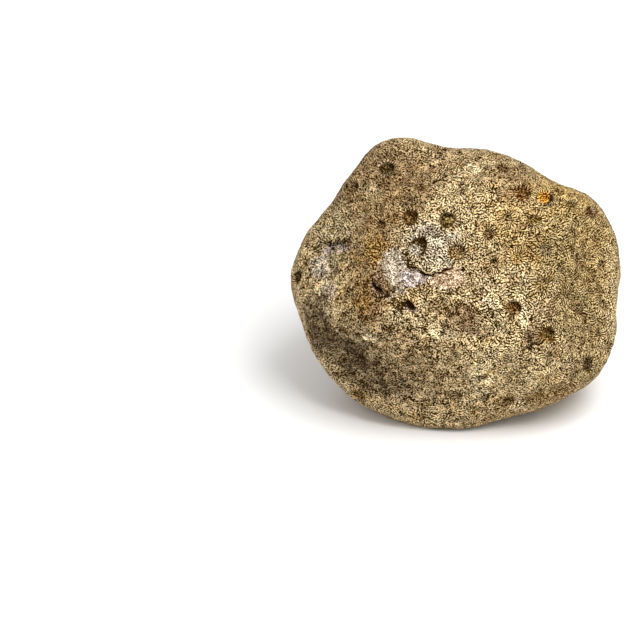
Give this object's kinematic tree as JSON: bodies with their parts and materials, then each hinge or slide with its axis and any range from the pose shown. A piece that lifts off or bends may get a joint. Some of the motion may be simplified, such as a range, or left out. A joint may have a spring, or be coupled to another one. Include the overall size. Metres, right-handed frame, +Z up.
{
  "type": "fossil coral head",
  "caption": "Water-worn cobble of fossil colonial coral: broad leaning face with round pitted calices, cracks and chips, pitted back, flat underside.",
  "frame": {"origin": "middle of the bounding box's underside, on the flat base that the stone stands on", "axes": "+X along the stone's longest side, to the right of someone facing the broad pitted face; +Y towards its back; +Z up"},
  "size_m": [0.0966, 0.0714, 0.0753],
  "materials": {
    "fossil_stone": "worn, satin, ochre and olive with cream ribs round each calice"
  },
  "bodies": {
    "root": {"coral_head": "fossil_stone"}
  },
  "joints": []
}
